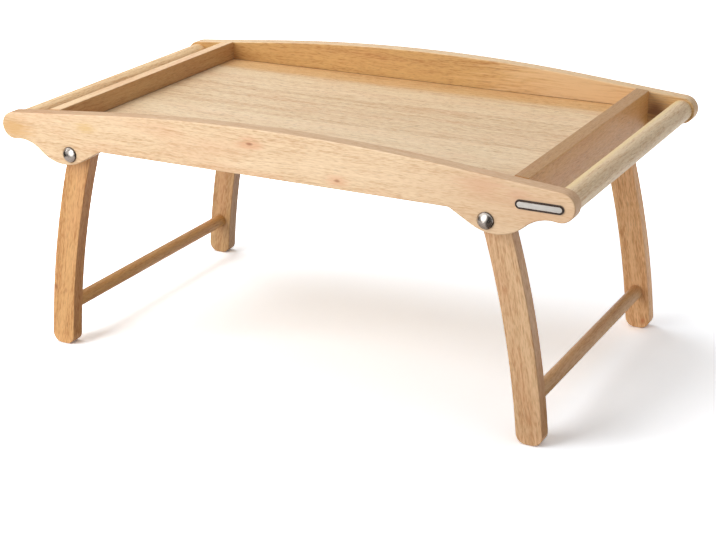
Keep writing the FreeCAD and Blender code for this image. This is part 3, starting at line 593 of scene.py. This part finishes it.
# studio cards that only reflections show, as they draw the bright and dark sides of the bolt
# heads: middle, width and height, the axis that they look along, tone and glow
CARDS = {
    "white_card": ((0.00, -0.62, 0.52), (0.70, 1.02), "Y", "#FFFFFF", 4.2),
    "dark_card": ((0.65, -0.64, 0.50), (3.10, 1.00), "Y", "#201A17", 0.0),
    "left_card": ((-0.62, -0.06, 0.21), (1.12, 0.42), "X", "#14100E", 0.0),
    "right_floor_card": ((0.72, -0.31, 0.01), (1.00, 0.62), "Z", "#5C534E", 0.0),
    "left_floor_card": ((-0.46, -0.34, 0.01), (1.36, 0.68), "Z", "#C9C3C2", 0.0),
}
CARD_TURNS = {"X": (math.pi / 2, 0, math.pi / 2), "Y": (math.pi / 2, 0, 0), "Z": (0, 0, 0)}
CARD_ROUGHNESS = 0.9
# what a glowing card is like under its glow
CARD_GREY = "#404040"
# a card's glow fades between these distances from its middle, as shares of its width and height
FADE_START = 0.16
FADE_END = 0.56


def area_lamp(name, spot, aim, width, height, power):
    """A soft box that looks from its spot to its aim."""
    lamp = bpy.data.lights.new(name, "AREA")
    lamp.shape = "ELLIPSE"
    lamp.size = width
    lamp.size_y = height
    lamp.energy = power
    holder = bpy.data.objects.new(name, lamp)
    holder.location = spot
    holder.rotation_euler = (Vector(aim) - Vector(spot)).to_track_quat("-Z", "Y").to_euler()
    bpy.context.scene.collection.objects.link(holder)


def reflected_card(name, middle, size, facing, tone, glow):
    """A flat card for reflections alone."""
    bpy.ops.mesh.primitive_plane_add(size=1, location=middle)
    card = bpy.context.object
    card.name = name
    card.scale = (size[0], size[1], 1)
    card.rotation_euler = CARD_TURNS[facing]
    card.visible_camera = False
    card.visible_diffuse = False
    card.visible_shadow = False
    material, tree, shader = new_material(name)
    shader.inputs["Base Color"].default_value = linear(CARD_GREY if glow else tone)
    shader.inputs["Roughness"].default_value = CARD_ROUGHNESS
    shader.inputs["Emission Color"].default_value = linear(tone)
    spot = add_node(tree, "ShaderNodeTexCoord", {}).outputs["Object"]
    away = add_node(tree, "ShaderNodeVectorMath", {0: spot}, operation="LENGTH")
    fading = add_node(tree, "ShaderNodeMapRange", {
        "Value": away.outputs["Value"], "From Min": FADE_START, "From Max": FADE_END,
        "To Min": glow, "To Max": 0.0})
    tree.links.new(fading.outputs[0], shader.inputs["Emission Strength"])
    card.data.materials.append(material)


def background_rays(tree):
    """1 for the rays that show the background: straight to the camera, or by way of metal or glass."""
    path = add_node(tree, "ShaderNodeLightPath", {})
    seen = path.outputs["Is Camera Ray"]
    for kind in ("Is Glossy Ray", "Is Transmission Ray"):
        seen = add_node(tree, "ShaderNodeMath", {0: seen, 1: path.outputs[kind]},
                        operation="MAXIMUM").outputs[0]
    return seen


def studio():
    """White floor and world, a large soft box at the front left, weaker ones above and right."""
    bpy.ops.mesh.primitive_plane_add(size=FLOOR_SIZE, location=(0, 0, -FLOOR_DROP))
    floor = bpy.context.object
    floor.name = "floor"
    material, tree, shader = new_material("white_floor")
    tree.nodes.remove(shader)
    spot = add_node(tree, "ShaderNodeTexCoord", {}).outputs["Object"]
    away = add_node(tree, "ShaderNodeVectorMath", {0: spot}, operation="LENGTH")
    far = add_node(tree, "ShaderNodeMapRange", {
        "Value": away.outputs["Value"], "From Min": NEAR_END, "From Max": FAR_START},
                   interpolation_type="SMOOTHSTEP")
    shown = add_node(tree, "ShaderNodeMix", {
        "Factor": far.outputs[0], 6: FLOOR_NEAR, 7: FLOOR_FAR}, data_type="RGBA")
    white = add_node(tree, "ShaderNodeMix", {
        "Factor": background_rays(tree), 6: linear(FLOOR_WHITE), 7: shown.outputs[2]},
                     data_type="RGBA")
    matt = add_node(tree, "ShaderNodeBsdfDiffuse", {"Color": white.outputs[2]})
    tree.links.new(matt.outputs[0], tree.nodes["Material Output"].inputs["Surface"])
    floor.data.materials.append(material)

    world = bpy.data.worlds.new("studio")
    bpy.context.scene.world = world
    world.use_nodes = True
    tree = world.node_tree
    level = add_node(tree, "ShaderNodeMapRange", {
        "Value": background_rays(tree), "To Min": AMBIENT})
    backdrop = tree.nodes["Background"]
    tree.links.new(level.outputs[0], backdrop.inputs["Strength"])
    backdrop.inputs["Color"].default_value = linear("#FFFFFF")

    for name, look in LAMPS.items():
        area_lamp(name, *look)
    for name, look in CARDS.items():
        reflected_card(name, *look)


def camera():
    """Looks along +Y at azimuth 0, down by the elevation."""
    seen_by = bpy.data.cameras.new("camera")
    seen_by.sensor_width = CAMERA_SENSOR
    seen_by.lens = CAMERA_LENS
    holder = bpy.data.objects.new("camera", seen_by)
    turn = (Matrix.Rotation(math.radians(CAMERA_AZIMUTH), 4, "Z")
            @ Matrix.Rotation(math.radians(90 - CAMERA_ELEVATION), 4, "X")
            @ Matrix.Rotation(math.radians(CAMERA_ROLL), 4, "Z"))
    holder.matrix_world = Matrix.Translation(CAMERA_SPOT) @ turn
    bpy.context.scene.collection.objects.link(holder)
    bpy.context.scene.camera = holder


def dress(name, material):
    """Gives a CAD node its material."""
    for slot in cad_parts[name].material_slots:
        slot.material = material


camera()
studio()
for name, looks in WOODS.items():
    # each leg gets a dark ring round its stretcher's end: glue, lacquer and painted shade
    if name.endswith("leg"):
        looks["stains_and_shade"] = (socket_stain_and_shade(name),)
    dress(name, rubberwood("rubberwood_" + name, **looks))
nickel = polished_nickel()
zinc = zinc_plate()
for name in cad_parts:
    if name.endswith("hinge_bolt"):
        dress(name, nickel)
    elif name.endswith(("washer", "nut")):
        dress(name, zinc)
nameplate()

bpy.context.scene.view_settings.view_transform = "Standard"
